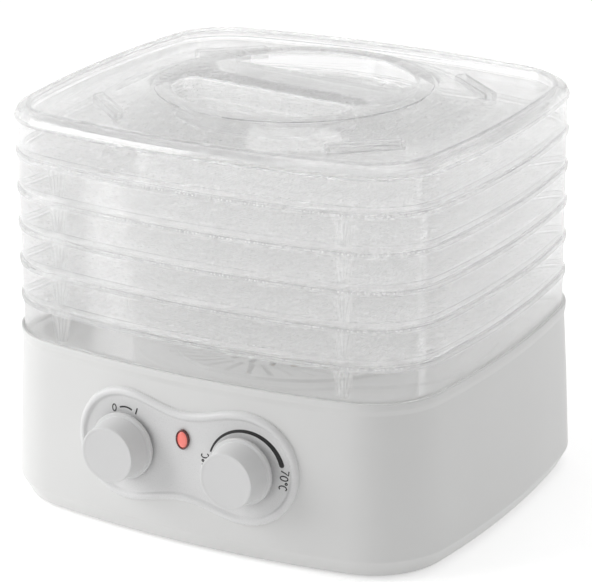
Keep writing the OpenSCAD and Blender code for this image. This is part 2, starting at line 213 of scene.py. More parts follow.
@dataclass(frozen=True)
class DrawnMetal:
    """Metal with the fine lines that drawing, turning or stamping leaves along one direction."""

    name: str
    colour: str
    stain: str
    roughness: float
    line_mm: float = 0.4
    line_depth_mm: float = 0.01
    stretch: Point3 = (1.0, 1.0, 12.0)

    def material(self) -> bpy.types.Material:
        """Builds the node material: long fine lines in the gloss and a slight stain."""
        material, tree = new_tree(self.name)
        place = add_node(tree, "TexCoord")
        squeeze = add_node(tree, "Mapping", Vector=(place, "Object"),
                           Scale=tuple(1.0 / axis for axis in self.stretch))
        lines = add_node(tree, "TexNoise", Vector=(squeeze, 0), Scale=1000 / self.line_mm, Detail=2.0)
        stain = add_node(tree, "TexNoise", Vector=(place, "Object"), Scale=110.0, Detail=4.0)
        colour = two_tone(tree, (stain, "Fac"), self.colour, self.stain)
        gloss = spread(tree, (lines, "Fac"), self.roughness * 0.8, self.roughness * 1.25)
        bump = add_node(tree, "Bump", Height=(lines, "Fac"), Distance=self.line_depth_mm * MM,
                        Strength=0.5)
        shader = add_node(tree, "BsdfPrincipled", Base_Color=colour, Roughness=gloss,
                          Normal=(bump, 0), Metallic=1.0)
        add_node(tree, "OutputMaterial", Surface=(shader, 0))
        return material


@dataclass(frozen=True)
class ClearStyrene:
    """Clear moulded styrene: bright and hard edged, with slight flow ripples from the mould. Part of
    the brightness of its edges is a painted highlight, a white painted glow in its milky share.

    Soft light and shadow rays pass straight through, as they do in the thin walls, so the
    pieces inside stay bright.
    """

    name: str
    tint: str = "ffffff"
    haze: str = "fdfdfd"
    roughness: float = 0.02
    ior: float = 1.57
    ripple_mm: float = 26.0
    ripple_depth_mm: float = 0.05
    shade: str = "fcfcfc"
    milk: str = "fafafa"
    milk_share: float = 0.008
    straight_share: float = 0.30
    # Extra milk towards grazing angles; it carries the painted glow, so the edges get partly real haze,
    # partly a painted highlight
    edge_share: float = 0.35
    # Strength of the painted glow, a white emission that brightens the milky share with no lamp behind
    # it
    glow: float = 0.1
    # Share and width of the painted slot highlight, a milky outline round each slot of the lattice
    painted_highlight_share: float = 0.0
    painted_highlight_mm: float = 0.7

    def painted_slot_highlights(self, tree: bpy.types.NodeTree, place: bpy.types.Node) -> bpy.types.Node:
        """Adds a painted highlight: a milky outline round each slot, where its rounded edge would catch
        light.

        Args:
            tree: Node tree of the material.
            place: Its texture coordinates.

        Returns:
            Node whose first output is the strength of the outline, from 0 to 1.
        """
        split = add_node(tree, "SeparateXYZ", Vector=(place, "Object"))
        local: list[Link] = []
        index: list[Link] = []
        for axis in ("X", "Y"):
            cells = math_node(tree, "MULTIPLY", (split, axis), 1000 / WEAVE.cell)
            index.append(math_node(tree, "ROUND", cells))
            local.append(math_node(tree, "ABSOLUTE", math_node(tree, "SUBTRACT", cells, index[-1])))
        odd = math_node(tree, "PINGPONG", math_node(tree, "ADD", *index), 1.0)
        along, across = (add_node(tree, "Mix", {"data_type": "FLOAT"}, in0=odd, in2=even_cell,
                                  in3=odd_cell)
                         for even_cell, odd_cell in (local, reversed(local)))
        end = math_node(tree, "SUBTRACT", (along, 0), WEAVE.slot_long / 2 / WEAVE.cell)
        off_middle = math_node(tree, "SUBTRACT", (across, 0), WEAVE.slot_gap / 2 / WEAVE.cell)
        side = math_node(tree, "SUBTRACT", math_node(tree, "ABSOLUTE", off_middle),
                         WEAVE.slot_wide / 2 / WEAVE.cell)
        outside = math_node(tree, "MAXIMUM", end, side)
        width = self.painted_highlight_mm / WEAVE.cell
        off = math_node(tree, "ABSOLUTE", math_node(tree, "SUBTRACT", outside, width / 2))
        return add_node(tree, "MapRange", Value=off, From_Min=width * 0.35, From_Max=width * 0.75,
                        To_Min=1.0, To_Max=0.0)

    def material(self) -> bpy.types.Material:
        """Builds the node material: refracting, slightly milky walls that let soft light through, with
        a painted glow in the milk.
        """
        material, tree = new_tree(self.name)
        place = add_node(tree, "TexCoord")
        flow = add_node(tree, "TexNoise", Vector=(place, "Object"), Scale=1000 / self.ripple_mm,
                        Detail=2.0, Roughness=0.4)
        colour = two_tone(tree, (flow, "Fac"), self.tint, self.haze)
        gloss = spread(tree, (flow, "Fac"), self.roughness * 0.6, self.roughness * 1.4)
        bump = add_node(tree, "Bump", Height=(flow, "Fac"), Distance=self.ripple_depth_mm * MM,
                        Strength=0.5)
        shader = add_node(tree, "BsdfPrincipled", Base_Color=colour, Roughness=gloss,
                          Normal=(bump, 0), IOR=self.ior)
        shader.inputs["Transmission Weight"].default_value = 1.0
        passing = add_node(tree, "BsdfTransparent", Color=linear(self.shade))
        front = add_node(tree, "BsdfDiffuse", Color=linear(self.milk), Roughness=0.3)
        back = add_node(tree, "BsdfTranslucent", Color=linear(self.milk))
        both_ways = add_node(tree, "MixShader", in0=0.5, in1=(front, 0), in2=(back, 0))
        # Painted glow: a white emission on the clear plastic, a painted highlight where no lamp is
        painted_glow = add_node(tree, "Emission", Color=linear("ffffff"), Strength=self.glow)
        milky = add_node(tree, "AddShader", in0=(both_ways, 0), in1=(painted_glow, 0))
        # Milk and its painted glow rise towards grazing angles, a painted edge highlight on top of the
        # real haze
        facing = add_node(tree, "LayerWeight", Blend=0.5)
        steep = math_node(tree, "POWER", (facing, "Facing"), 3.0)
        share = add_node(tree, "MapRange", Value=steep, To_Min=self.milk_share,
                         To_Max=self.milk_share + self.edge_share)
        # Painted highlight: the slot outlines push the lattice towards the milk and its painted glow
        if self.painted_highlight_share:
            line = self.painted_slot_highlights(tree, place)
            share = add_node(tree, "MapRange", Value=(line, 0), To_Min=(share, 0),
                             To_Max=self.painted_highlight_share)
        body = add_node(tree, "MixShader", in0=(share, 0), in1=(shader, 0), in2=(milky, 0))
        path = add_node(tree, "LightPath")
        soft = math_node(tree, "MAXIMUM", (path, "Is Shadow Ray"), (path, "Is Diffuse Ray"))
        thin = math_node(tree, "MAXIMUM", soft, self.straight_share)
        both = add_node(tree, "MixShader", in0=thin, in1=(body, 0), in2=(passing, 0))
        add_node(tree, "OutputMaterial", Surface=(both, 0))
        return material


class Finish(Enum):
    """Every finish on the machine, named for its material and how its surface was made."""

    # Polished ABS mouldings of the base: clean white with a soft, broad highlight
    SATIN_ABS = MouldedPlastic("satin_moulded_abs", "e9e9e8", "e4e4e3", 0.34, ripple_mm=60)
    # The control panel is the same ABS from a finer tool, a touch brighter
    PANEL_ABS = MouldedPlastic("panel_moulded_abs", "eaeaea", "e5e5e5", 0.30, ripple_mm=45)
    # Knobs are spark-eroded in the tool, so they look flatter than the base
    KNOB_ABS = MouldedPlastic("eroded_knob_abs", "e1e1e1", "dcdcdc", 0.42, grain_mm=0.35,
                              grain_depth_mm=0.02)
    # Soft black rubber, dusty from the mould
    FOOT_RUBBER = MouldedPlastic("moulded_rubber", "1d1d1d", "292928", 0.78, grain_mm=0.8,
                                 grain_depth_mm=0.03, ior=1.5, sheen=0.1)
    # Zinc-plated pressed steel with a faint grey bloom
    ZINC_STEEL = DrawnMetal("zinc_plated_steel", "c9cac8", "b4b5b2", 0.32)
    # Glass-filled switch housing, matt ivory
    SWITCH_BODY = MouldedPlastic("filled_nylon_ivory", "cfcabc", "c4bfb0", 0.55, grain_depth_mm=0.03)
    # Pressed steatite of the thermostat: buff and chalky
    STEATITE = MouldedPlastic("pressed_steatite", "cdb995", "bea983", 0.7, grain_mm=0.9,
                              grain_depth_mm=0.05, ior=1.55)
    # Dark red moulded ring around the pilot light
    BEZEL_RED = MouldedPlastic("deep_red_styrene", "5f2423", "521d1d", 0.22, ior=1.57, coat=0.3)
    # Lit red lens: bright in the middle with a wet highlight
    LENS_RED = MouldedPlastic("lit_red_lens", "e8796e", "dc5f56", 0.12, ripple_mm=5, ior=1.57,
                              coat=0.5, glow=0.34)
    # Neon tube behind the lens, glowing orange
    NEON = MouldedPlastic("neon_glass", "ffa066", "ff8c4c", 0.1, ripple_mm=4, ior=1.5, glow=0.8)
    # Grey nylon duct, matt from the glass fill
    DUCT_NYLON = MouldedPlastic("filled_nylon_grey", "c3c3bf", "b6b6b1", 0.6, grain_depth_mm=0.03)
    # Mica sheet: layered brown with pearly flakes
    MICA = MouldedPlastic("split_mica", "bda377", "94784d", 0.38, grain_mm=2.2, ripple_mm=9,
                          grain_depth_mm=0.04, ior=1.58, coat=0.2)
    # Heater wire, oxidised dark by use
    HEATER_WIRE = DrawnMetal("oxidised_heater_wire", "6f6a66", "4d4845", 0.5, line_mm=0.3)
    # Stacked motor laminations: fine lines across the edge
    LAMINATIONS = DrawnMetal("stacked_laminations", "5d6064", "45484c", 0.45, line_mm=0.5,
                             stretch=(12.0, 12.0, 1.0))
    # Enamelled copper winding, reddish with a varnish gloss
    WINDING = DrawnMetal("enamelled_copper", "a1552f", "7f3d1f", 0.3, line_mm=0.5,
                         stretch=(10.0, 10.0, 1.0))
    # Sintered bronze bearings, dull and oily
    BRONZE = DrawnMetal("sintered_bronze", "a58249", "8d6c3a", 0.48, stretch=(1.0, 1.0, 1.0))
    # Turned rotor steel
    ROTOR_STEEL = DrawnMetal("turned_rotor_steel", "b3b4b5", "9a9b9c", 0.28)
    # Black fan nylon with a matt sheen
    FAN_NYLON = MouldedPlastic("filled_nylon_black", "262627", "313132", 0.5, grain_depth_mm=0.03)
    # Natural nylon terminal block, waxy cream
    TERMINAL_NYLON = MouldedPlastic("natural_nylon", "e9e4d2", "ded8c3", 0.4)
    # Silicone-sleeved leads in blue
    LEAD_SILICONE = MouldedPlastic("silicone_sleeve", "2f5aa3", "264c8d", 0.5, ior=1.42)
    # Pad-printed black ink: dense and slightly glossy
    PAD_INK = MouldedPlastic("pad_printed_ink", "0d0d0e", "161617", 0.4, grain_mm=0.25)
    # Clear walls of the trays and the lid: glassy, with a breath of haze and a painted glow on their
    # edges
    CLEAR = ClearStyrene("clear_moulded_styrene")
    # The lattice has a painted highlight, a milky outline with a faint painted glow round each slot,
    # where the rounded slot edges would catch light
    LATTICE = ClearStyrene("blasted_lattice_styrene", roughness=0.03, ripple_depth_mm=0.02,
                           milk_share=0.02, straight_share=0.15, edge_share=0.1, glow=0.05,
                           painted_highlight_share=0.9)

    def on(self, *pieces: bpy.types.Object) -> None:
        """Puts this finish, and nothing else, on each piece."""
        material = bpy.data.materials.get(self.value.name) or self.value.material()
        for piece in pieces:
            piece.data.materials.clear()
            piece.data.materials.append(material)


SLOT_FINISH: dict[str, Finish] = {
    "white_abs": Finish.SATIN_ABS, "panel_abs": Finish.PANEL_ABS, "knob_abs": Finish.KNOB_ABS,
    "rubber": Finish.FOOT_RUBBER, "zinc_steel": Finish.ZINC_STEEL,
    "switch_body": Finish.SWITCH_BODY, "thermostat_ceramic": Finish.STEATITE,
    "bezel_red": Finish.BEZEL_RED, "lens_red": Finish.LENS_RED, "neon_glass": Finish.NEON,
    "duct_nylon": Finish.DUCT_NYLON, "mica": Finish.MICA, "heater_wire": Finish.HEATER_WIRE,
    "lamination_steel": Finish.LAMINATIONS, "copper_winding": Finish.WINDING,
    "sintered_bronze": Finish.BRONZE, "rotor_steel": Finish.ROTOR_STEEL,
    "fan_nylon": Finish.FAN_NYLON, "terminal_nylon": Finish.TERMINAL_NYLON,
    "wire_silicone": Finish.LEAD_SILICONE, "clear_plastic": Finish.CLEAR,
}


# ---------------------------------------------------------------- shapes in millimetres


def fillet(corners: Sequence[tuple[float, float, float]], closed: bool, steps: int = 4) -> Loop:
    """Rounds the corners of a flat path.

    Args:
        corners: Corner points as (u, v, radius). A radius of 0 keeps the corner sharp.
        closed: Whether the path joins its own start.
        steps: Straight pieces in each rounded corner.

    Returns:
        The points of the rounded path.
    """
    path: Loop = []
    count = len(corners)
    for i, (u, v, radius) in enumerate(corners):
        here = Vector((u, v))
        if radius <= 0 or (not closed and i in (0, count - 1)):
            path.append((u, v))
            continue
        back = Vector(corners[i - 1][:2]) - here
        ahead = Vector(corners[(i + 1) % count][:2]) - here
        half = back.angle(ahead) / 2
        if half > math.pi / 2 - NEARLY_STRAIGHT:
            path.append((u, v))
            continue
        longest = ROUNDING_SHARE * min(back.length, ahead.length)
        reach = min(radius / math.tan(half), longest)
        first, last = here + back.normalized() * reach, here + ahead.normalized() * reach
        for k in range(steps + 1):
            t = k / steps
            # A quadratic curve through the corner is close to an arc at these sizes
            point = first * (1 - t) ** 2 + here * 2 * t * (1 - t) + last * t ** 2
            path.append((point.x, point.y))
    return path


def oval(middle: Point2, radii: Point2, count: int, start_deg: float = 0.0,
         step_deg: float = 0.0) -> Loop:
    """Points round an oval, anticlockwise unless the step is negative.

    Args:
        middle: Middle of the oval.
        radii: Its half width and half height.
        count: Number of points.
        start_deg: Direction of the first point.
        step_deg: Step from one point to the next, or 0 for even steps once round.

    Returns:
        The points.
    """
    start = math.radians(start_deg)
    step = math.radians(step_deg) if step_deg else math.tau / count
    return [(middle[0] + radii[0] * math.cos(start + step * k),
             middle[1] + radii[1] * math.sin(start + step * k)) for k in range(count)]


@dataclass(frozen=True)
class PlanOutline:
    """Plan of the machine: four bulged sides and four round corners, arcs tangent to each other."""

    half_w: float = 140.0
    half_d: float = 124.0
    corner_r: float = 46.0
    side_r: float = 590.0
    side_steps: int = 10
    corner_steps: int = 16

    def samples(self) -> list[tuple[Vector, Vector]]:
        """Points on the tray flange outline with their outward normals, anticlockwise from +X."""
        px, qy = self.half_w - self.side_r, self.half_d - self.side_r
        reach = self.side_r - self.corner_r
        span = math.hypot(px, qy)
        rise = math.sqrt(reach * reach - span * span / 4)
        corner = Vector((px / 2 - rise * qy / span, qy / 2 - rise * px / span))
        t0 = math.atan2(corner.y, corner.x - px)
        t1 = math.atan2(corner.y - qy, corner.x)
        arcs = [(Vector((px, 0)), self.side_r, 0.0, t0, self.side_steps),
                (corner, self.corner_r, t0, t1, self.corner_steps),
                (Vector((0, qy)), self.side_r, t1, math.pi / 2, self.side_steps)]
        quarter = []
        for centre, radius, start, end, steps in arcs:
            for i in range(steps):
                angle = start + (end - start) * i / steps
                normal = Vector((math.cos(angle), math.sin(angle)))
                quarter.append((centre + radius * normal, normal))
        quarter.append((Vector((0, self.half_d)), Vector((0, 1))))
        whole: list[tuple[Vector, Vector]] = []
        for sx, sy in ((1, 1), (-1, 1), (-1, -1), (1, -1)):
            # A mirrored quarter runs backwards, and each quarter leaves its last point to the next
            part = quarter if sx == sy else quarter[::-1]
            whole += [(Vector((p.x * sx, p.y * sy)), Vector((n.x * sx, n.y * sy)))
                      for p, n in part[:-1]]
        return whole

    def ring(self, inset: float, z: float) -> Ring:
        """The outline moved inwards by inset, at height z."""
        return [(p.x - n.x * inset, p.y - n.y * inset, z) for p, n in self.samples()]

    def circle(self, radius: float, z: float) -> Ring:
        """A circle with one point for each point of the outline, in the same directions."""
        return [(radius * math.cos(a), radius * math.sin(a), z)
                for a in (math.atan2(p.y, p.x) for p, _ in self.samples())]

    def front_y(self, x: float, inset: float) -> float:
        """Y of the bulged front side at x, moved inwards by inset."""
        radius = self.side_r - inset
        return -(self.half_d - self.side_r + math.sqrt(radius * radius - x * x))


PLAN = PlanOutline()


class MeshMaker:
    """Collects rings and faces in millimetres and turns them into one Blender piece in metres."""

    def __init__(self) -> None:
        """Starts an empty mesh."""
        self.bm = bmesh.new()

    def ring(self, points: Iterable[Point3]) -> list[bmesh.types.BMVert]:
        """Adds the points of one ring and returns its vertices."""
        return [self.bm.verts.new((x * MM, y * MM, z * MM)) for x, y, z in points]

    def strip(self, a: Sequence[bmesh.types.BMVert], b: Sequence[bmesh.types.BMVert]) -> None:
        """Joins two closed rings of equal length with a band of faces."""
        count = len(a)
        for i in range(count):
            j = (i + 1) % count
            self.bm.faces.new((a[i], a[j], b[j], b[i]))

    def stack(self, rings: Sequence[Ring], cycle: bool = False) -> list[list[bmesh.types.BMVert]]:
        """Joins a series of rings.

        Args:
            rings: The rings in order.
            cycle: Whether the last ring joins the first.

        Returns:
            The vertices of each ring.
        """
        made = [self.ring(points) for points in rings]
        for a, b in zip(made, made[1:]):
            self.strip(a, b)
        if cycle:
            self.strip(made[-1], made[0])
        return made

    def cap(self, ring: Sequence[bmesh.types.BMVert]) -> None:
        """Closes a ring with one face."""
        self.bm.faces.new(ring)

    def closed_form(self, rings: Sequence[Ring]) -> None:
        """Joins a series of rings and closes both ends."""
        made = self.stack(rings)
        self.cap(made[0])
        self.cap(made[-1])

    def sheet(self, border: Sequence[bmesh.types.BMVert],
              holes: Sequence[Sequence[bmesh.types.BMVert]],
              inside_hole: Callable[[float, float], bool]) -> None:
        """Fills the flat sheet between a border and its holes.

        Args:
            border: Vertices of the outer edge.
            holes: Vertices round each hole.
            inside_hole: Says whether a point in millimetres lies in a hole.
        """
        verts: list[bmesh.types.BMVert] = []
        edges: list[tuple[int, int]] = []
        for loop in [border, *holes]:
            base, count = len(verts), len(loop)
            verts += list(loop)
            edges += [(base + i, base + (i + 1) % count) for i in range(count)]
        edge_points = [(v.co.x / MM, v.co.y / MM) for v in border]
        flat = [Vector((v.co.x / MM, v.co.y / MM)) for v in verts]
        points, _, faces, origins, _, _ = delaunay_2d_cdt(flat, edges, [], 0, SHEET_EPSILON)
        for face in faces:
            mid = sum((points[i] for i in face), Vector((0.0, 0.0))) / len(face)
            if inside_hole(mid.x, mid.y) or not inside_polygon(mid.x, mid.y, edge_points):
                continue
            corners = [verts[origins[i][0]] for i in face]
            if len(set(corners)) == 3 and self.bm.faces.get(corners) is None:
                self.bm.faces.new(corners)

    def piece(self, name: str, finish: Finish, sharp_deg: float = 38.0) -> bpy.types.Object:
        """Closes the mesh and makes it a piece.

        Args:
            name: Name of the piece.
            finish: Its finish.
            sharp_deg: Edges that turn more than this stay sharp.

        Returns:
            The new object, linked to the scene.
        """
        bmesh.ops.recalc_face_normals(self.bm, faces=self.bm.faces[:])
        limit = math.radians(sharp_deg)
        for face in self.bm.faces:
            face.smooth = True
        for edge in self.bm.edges:
            if len(edge.link_faces) == 2:
                edge.smooth = edge.calc_face_angle(0.0) < limit
        mesh = bpy.data.meshes.new(name)
        self.bm.to_mesh(mesh)
        self.bm.free()
        piece = bpy.data.objects.new(name, mesh)
        bpy.context.scene.collection.objects.link(piece)
        finish.on(piece)
        return piece


def inside_polygon(x: float, y: float, polygon: Sequence[Point2]) -> bool:
    """Whether a point lies inside a polygon."""
    inside = False
    for (x0, y0), (x1, y1) in zip(polygon, [*polygon[1:], polygon[0]]):
        if (y0 > y) != (y1 > y) and x < (x1 - x0) * (y - y0) / (y1 - y0) + x0:
            inside = not inside
    return inside


def grown(loop: Sequence[Point2], by: float) -> Loop:
    """Moves a closed anticlockwise loop outwards along its normals.

    Args:
        loop: The loop.
        by: Distance, negative to move inwards.

    Returns:
        The moved loop.
    """
    moved: Loop = []
    count = len(loop)
    for i in range(count):
        (x0, y0), (x1, y1) = loop[i - 1], loop[(i + 1) % count]
        along = Vector((x1 - x0, y1 - y0)).normalized()
        moved.append((loop[i][0] + along.y * by, loop[i][1] - along.x * by))
    return moved


def settle(piece: bpy.types.Object, body: str, slot: str, *nodes: str) -> None:
    """Rides a piece on its body and hides the nodes it stands for.

    Args:
        piece: The piece.
        body: Body of the frame that carries it.
        slot: Material slot of the record; not used.
        *nodes: Nodes of the frame that it replaces.
    """
    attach(piece, body)
    if nodes:
        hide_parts(*nodes)
    LOG.info("%s on %s, %d faces", piece.name, body, len(piece.data.polygons))


# ---------------------------------------------------------------- base


@dataclass
class BaseHousing:
    """White base: chamfered foot, flared wall, rolled lip, ledge and sunken deck."""

    foot: Point2 = (1.5, 1.5)
    crease: Point2 = (-4.2, 12.0)
    lip_inset: float = -0.8
    lip_z: float = 103.5
    ledge_z: float = 102.8
    deck_z: float = 91.0
    deck_t: float = 3.0
    outlet_r: float = 59.3
    wall_t: float = 3.0

    def wall_inset(self, z: float) -> float:
        """Inset of the outer wall at height z, a straight flare from the crease to the lip."""
        share = (z - self.crease[1]) / (self.lip_z - self.crease[1])
        return self.crease[0] + share * (self.lip_inset - self.crease[0])

    def build(self) -> None:
        """Builds the housing as one closed moulding."""
        t = self.wall_t
        outside = fillet([
            (self.foot[0] + t, self.foot[1], 0),
            (self.foot[0], self.foot[1], 0.8),
            (self.crease[0], self.crease[1], 2.2),
            (self.wall_inset(60) + 0.35, 60, 80),
            (self.wall_inset(97) + 1.1, 96.5, 3.0),
            (self.lip_inset, 99.6, 1.4),
            (self.lip_inset, self.lip_z, 1.0),
            (0.85, self.lip_z, 0.5),
            (0.85, self.ledge_z, 0.15),
            (3.5, self.ledge_z, 0.3),
            (3.9, self.ledge_z - 2.6, 0.5),
            (6.2, self.ledge_z - 2.6, 0.5),
            (6.8, self.ledge_z, 0.8),
            (12.5, self.ledge_z, 3.0),
            (18.0, self.deck_z, 6.0),
            (26.0, self.deck_z, 0),
        ], closed=False, steps=5)
        inside = fillet([
            (26.0, self.deck_z - self.deck_t, 0),
            (16.5, self.deck_z - self.deck_t, 4.0),
            (12.0, 97.5, 2.0),
            (2.0, 97.0, 1.0),
            (self.crease[0] + t, self.crease[1] + 1, 1.5),
            (self.foot[0] + t, self.foot[1], 0),
        ], closed=False, steps=3)
        maker = MeshMaker()
        top = maker.stack([PLAN.ring(i, z) for i, z in outside])
        under = maker.stack([PLAN.ring(i, z) for i, z in inside[:-1]])
        maker.strip(under[-1], top[0])
        deck_rings = [PLAN.circle(self.outlet_r + 1.0, self.deck_z),
                      PLAN.circle(self.outlet_r, self.deck_z - 0.8),
                      PLAN.circle(self.outlet_r, self.deck_z - self.deck_t)]
        rings = [maker.ring(points) for points in deck_rings]
        for a, b in zip([top[-1], *rings], [*rings, under[0]]):
            maker.strip(a, b)
        settle(maker.piece("base_moulding", Finish.SATIN_ABS), "base", "white_abs", "base_housing",
               "base_deck")


@dataclass(frozen=True)
class Figure:
    """One printed figure, drawn 1 high with its lower left corner at the origin."""

    width: float
    stroke: Loop
    closed: bool = False


FIGURE_GAP = 0.22
FIGURES: dict[str, Figure] = {
    "0": Figure(0.56, oval((0.28, 0.5), (0.28, 0.5), 14), closed=True),
    "3": Figure(0.54, [(0.0, 0.88), (0.2, 1.0), (0.42, 0.95), (0.5, 0.76), (0.42, 0.58),
                       (0.22, 0.52), (0.42, 0.46), (0.54, 0.27), (0.45, 0.06), (0.22, 0.0),
                       (0.0, 0.12)]),
    "5": Figure(0.54, [(0.5, 1.0), (0.08, 1.0), (0.04, 0.54), (0.26, 0.62), (0.48, 0.54),
                       (0.54, 0.3), (0.45, 0.07), (0.22, 0.0), (0.0, 0.1)]),
    "7": Figure(0.56, [(0.0, 1.0), (0.56, 1.0), (0.38, 0.6), (0.2, 0.0)]),
    "o": Figure(0.26, oval((0.13, 0.86), (0.13, 0.13), 10), closed=True),
    "C": Figure(0.56, oval((0.3, 0.5), (0.3, 0.5), 11, start_deg=45, step_deg=27)),
}


@dataclass
class ControlPanel:
    """Raised panel of two round lobes with a soft bead round a sunken face, and its print."""

    base: BaseHousing
    knob_x: float = 38.5
    knob_z: float = 56.5
    lobe_r: float = 33.0
    waist: float = 26.5
    face_proud: float = 0.6
    ink_proud: float = 0.06
    ink_sunk: float = 0.1
    # Distance in from the outer edge, and how far the surface stands out of the wall
    bead: tuple[Point2, ...] = ((0.0, -1.2), (0.0, 0.5), (0.25, 1.15), (0.7, 1.75), (1.3, 2.15),
                                (2.0, 2.38), (2.8, 2.4), (3.5, 2.2), (4.1, 1.75), (4.5, 1.25),
                                (4.9, 0.85), (5.5, 0.6))

    def y_at(self, x: float, z: float, proud: float) -> float:
        """Y of the surface that stands proud of the front wall at x and z."""
        return PLAN.front_y(x, self.base.wall_inset(z) - proud)

    def edge(self, inward: float) -> Loop:
        """Outline of the panel moved inwards, anticlockwise seen from the front."""
        radius, waist = self.lobe_r - inward, self.waist - inward
        upper: Loop = []
        for i in range(13):
            angle = math.pi / 2 * i / 12
            upper.append((self.knob_x + radius * math.cos(angle), radius * math.sin(angle)))
        for i in range(1, 24):
            x = self.knob_x * (1 - i / 12)
            rise = (1 - math.cos(math.pi * x / self.knob_x)) / 2
            upper.append((x, waist + (radius - waist) * rise))
        for i in range(13):
            angle = math.pi / 2 * (1 + i / 12)
            upper.append((-self.knob_x + radius * math.cos(angle), radius * math.sin(angle)))
        return upper + [(x, -z) for x, z in reversed(upper[1:-1])]

    def build(self) -> None:
        """Builds the panel and prints its scales."""
        maker = MeshMaker()
        rings = []
        for inward, proud in self.bead:
            rings.append([(x, self.y_at(x, z + self.knob_z, proud), z + self.knob_z)
                          for x, z in self.edge(inward)])
        made = maker.stack(rings)
        for ring in (made[0], made[-1]):
            count = len(ring)
            half = count // 2
            # Columns from each point of the upper edge to the one below it
            for i in range(half):
                quad = [ring[i], ring[i + 1], ring[-(i + 1) % count], ring[-i % count]]
                corners = list(dict.fromkeys(quad))
                if len(corners) > 2:
                    maker.bm.faces.new(corners)
        panel = maker.piece("control_panel_moulding", Finish.PANEL_ABS, sharp_deg=50)
        settle(panel, "base", "panel_abs", "control_panel")
        self.print_scales()

    def ribbon(self, maker: MeshMaker, path: Sequence[Point2], widths: Sequence[float],
               closed: bool = False) -> None:
        """Adds one printed stroke that follows the sunken face.

        Args:
            maker: Mesh that takes the stroke.
            path: Middle of the stroke in X and Z.
            widths: Width at each point.
            closed: Whether the stroke joins its own start.
        """
        count = len(path)
        sections = []
        for i, (x, z) in enumerate(path):
            before = path[i - 1] if closed or i else path[0]
            after = path[(i + 1) % count] if closed or i < count - 1 else path[-1]
            along = Vector((after[0] - before[0], after[1] - before[1])).normalized()
            side = Vector((-along.y, along.x)) * widths[i] / 2
            section = []
            for sign, lift in ((1, self.ink_proud), (-1, self.ink_proud),
                               (-1, -self.ink_sunk), (1, -self.ink_sunk)):
                sx, sz = x + sign * side.x, z + sign * side.y
                section.append((sx, self.y_at(sx, sz, self.face_proud + lift), sz))
            sections.append(section)
        if closed:
            maker.stack(sections, cycle=True)
        else:
            maker.closed_form(sections)

    def figures(self, maker: MeshMaker, text: str, middle: Point2, turn_deg: float,
                height: float, weight: float) -> None:
        """Prints plain figures of the dial scale.

        Args:
            maker: Mesh that takes the strokes.
            text: Characters among 0, 3, 5, 7, the degree ring o and C.
            middle: Middle of the word in X and Z.
            turn_deg: Turn of the word, anticlockwise.
            height: Height of a figure.
            weight: Width of a stroke.
        """
        total = sum(FIGURES[c].width for c in text) + FIGURE_GAP * (len(text) - 1)
        cursor = -total / 2
        turn = math.radians(turn_deg)
        for character in text:
            figure = FIGURES[character]
            path = []
            for u, v in figure.stroke:
                a, b = (cursor + u) * height, (v - 0.5) * height
                path.append((middle[0] + a * math.cos(turn) - b * math.sin(turn),
                             middle[1] + a * math.sin(turn) + b * math.cos(turn)))
            self.ribbon(maker, path, [weight] * len(path), figure.closed)
            cursor += figure.width + FIGURE_GAP

    def print_scales(self) -> None:
        """Prints off and on over the left dial, and the rising heat arc over the right one."""
        maker = MeshMaker()
        off_ring = oval((-46.6, 76.2), (1.25, 2.0), 16)
        self.ribbon(maker, off_ring, [0.75] * len(off_ring), closed=True)
        bar = [(-42.8 + 8.4 * k / 8, 77.3 + 0.9 * math.sin(math.pi * k / 8)) for k in range(9)]
        self.ribbon(maker, bar, [0.95] * len(bar))
        on_stroke = [(-31.9, 75.2), (-30.7, 79.0)]
        self.ribbon(maker, on_stroke, [0.85] * len(on_stroke))
        self.heat_arc(maker)
        height, weight = 4.6, 0.72
        self.figures(maker, "35oC", (14.6, 55.4), 97.0, height, weight)
        self.figures(maker, "70oC", (62.6, 54.0), -97.0, height, weight)
        settle(maker.piece("printed_scales", Finish.PAD_INK), "base", "panel_abs")

    def heat_arc(self, maker: MeshMaker) -> None:
        """Prints the arc over the heat dial, thin at the cool end, thick and round at the hot end."""
        cool_deg, hot_deg, steps = 162.0, 17.0, 44
        thin, thick = 1.0, 3.0
        arc = oval((39.3, 56.0), (22.9, 22.6), steps + 1, cool_deg, (hot_deg - cool_deg) / steps)
        widths = [thin + (thick - thin) * k / steps for k in range(steps + 1)]
        end = Vector(arc[-1])
        ahead = (end - Vector(arc[-2])).normalized()
        round_steps = 6
        for k in range(1, round_steps + 1):
            lean = math.pi / 2 * k / round_steps
            point = end + ahead * thick / 2 * math.sin(lean)
            arc.append((point.x, point.y))
            widths.append(max(thick * math.cos(lean), 0.05))
        self.ribbon(maker, arc, widths)


@dataclass
class Dial:
    """Turned-looking knob: a thin collar, a tapered grip and a softly rounded face."""

    name: str
    node: str
    body: str
    x: float
    z: float = 56.5
    back_y: float = -128.6
    front_y: float = -146.0
    collar_r: float = 19.5
    steps: int = 96

    def build(self) -> None:
        """Builds the knob as one closed turned form."""
        b, f = self.back_y, self.front_y
        side = fillet([
            (self.collar_r - 1.5, b, 0), (self.collar_r, b, 0.3), (self.collar_r, b - 2.4, 0.7),
            (17.7, b - 2.7, 0.5), (17.5, b - 4.0, 0.4), (16.45, f, 1.5), (15.0, f, 0.6),
            (14.4, f + 0.12, 0.5), (6.0, f + 0.1, 0),
        ], closed=False, steps=5)
        maker = MeshMaker()
        maker.closed_form([[(x, y, z) for x, z in oval((self.x, self.z), (r, r), self.steps)]
                           for r, y in side])
        settle(maker.piece(self.name, Finish.KNOB_ABS), self.body, "knob_abs", self.node)


